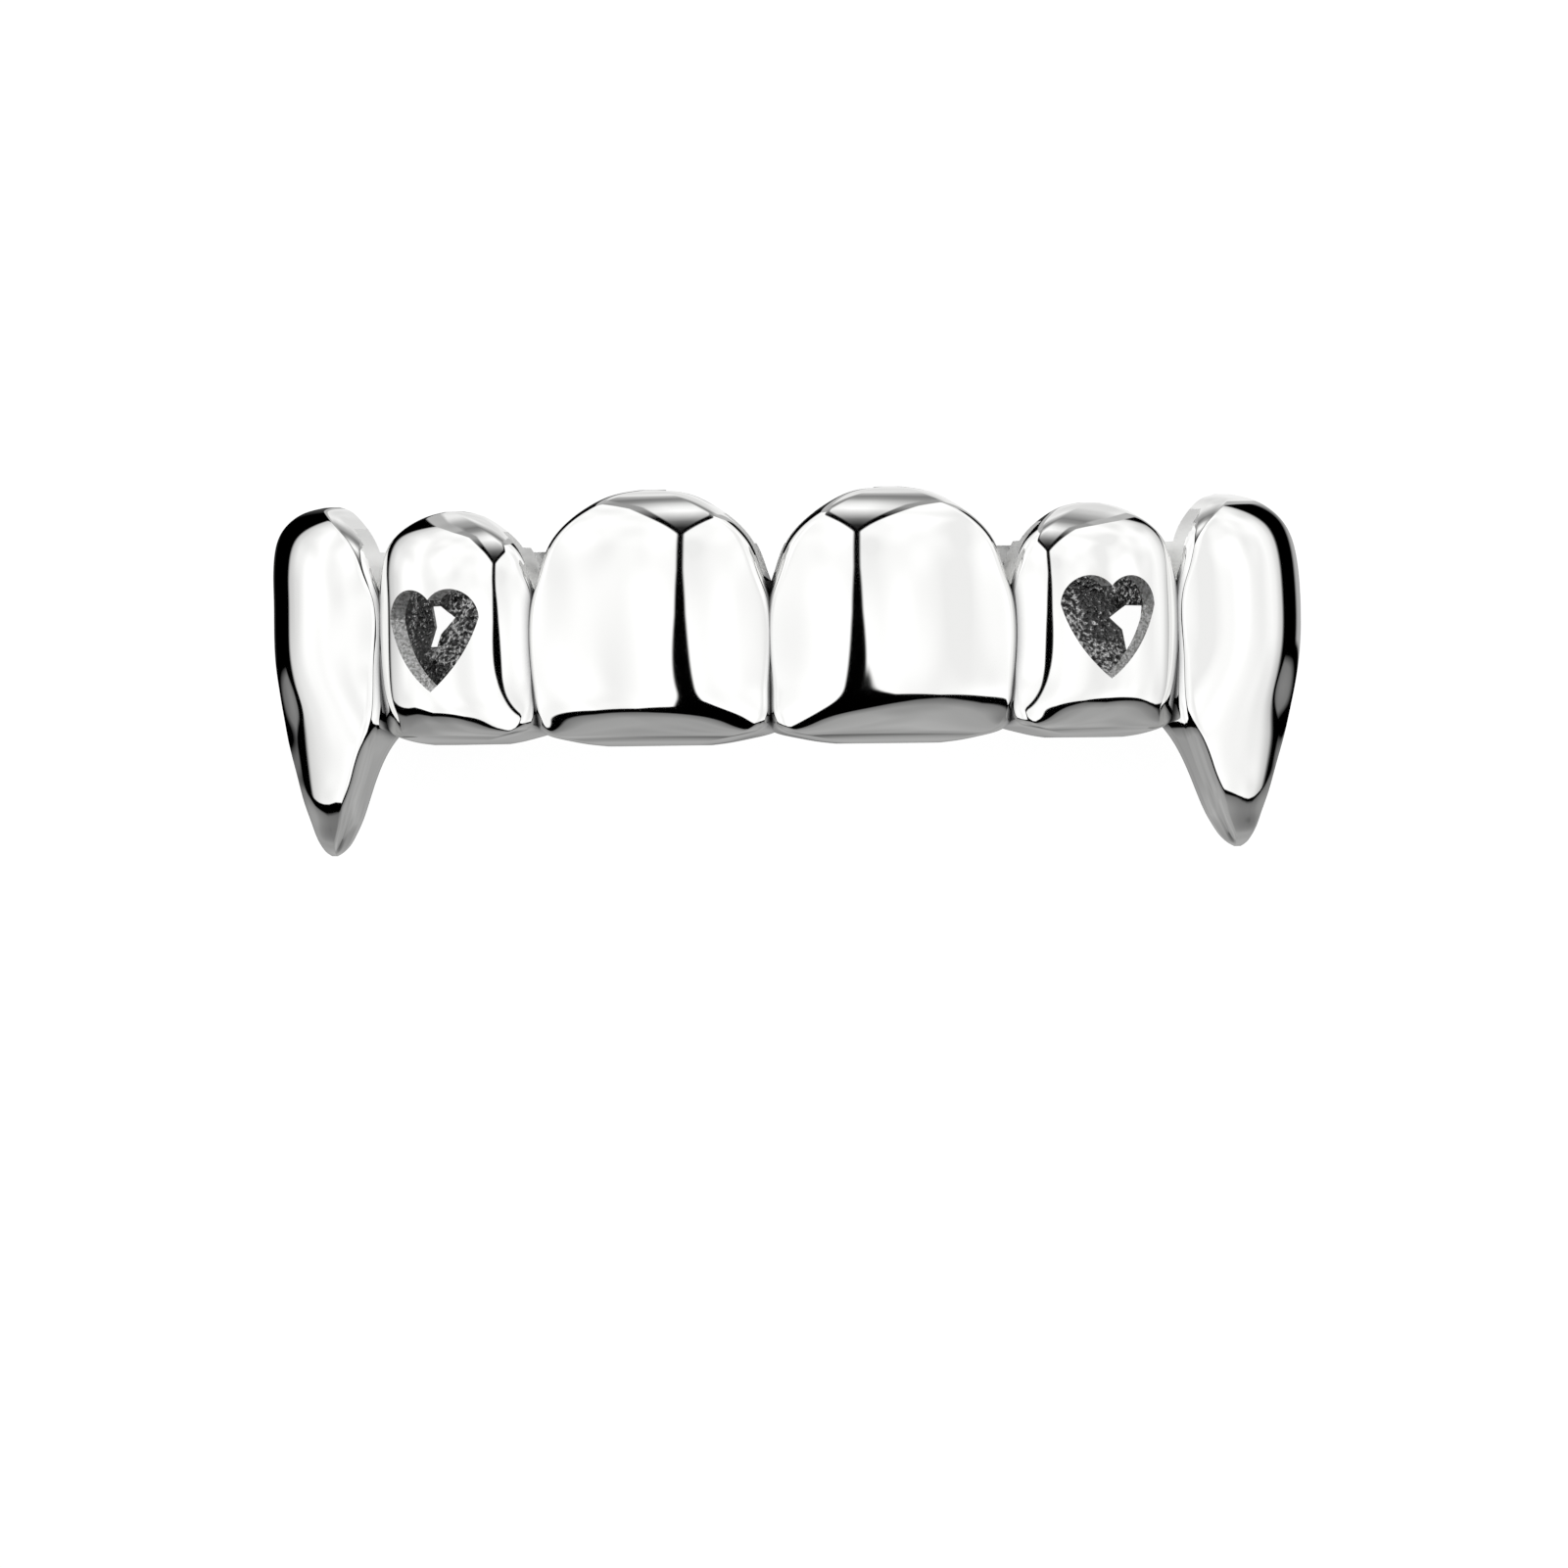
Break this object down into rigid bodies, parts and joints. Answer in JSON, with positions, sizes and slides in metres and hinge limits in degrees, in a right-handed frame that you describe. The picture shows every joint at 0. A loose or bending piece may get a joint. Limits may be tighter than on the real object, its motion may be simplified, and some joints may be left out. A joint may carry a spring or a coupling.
{
  "type": "grillz tooth cover",
  "caption": "One-piece cast metal cover that snaps over a row of upper front teeth, mirror polished, with long pointed canines and a heart cut through each lateral tooth.",
  "frame": {"origin": "on the surface the cover lies on, under the centre of its bounding box", "axes": "+X along the row of teeth, +Y towards the gums, +Z out of the mouth, the way the faces look, as it lies on its back"},
  "size_m": [0.0418, 0.0144, 0.0132],
  "materials": {
    "plated_brass": "cast brass, mirror polished and plated silver-white; rough cast inside"
  },
  "bodies": {
    "root": {"tooth_cover": "plated_brass"}
  },
  "joints": []
}
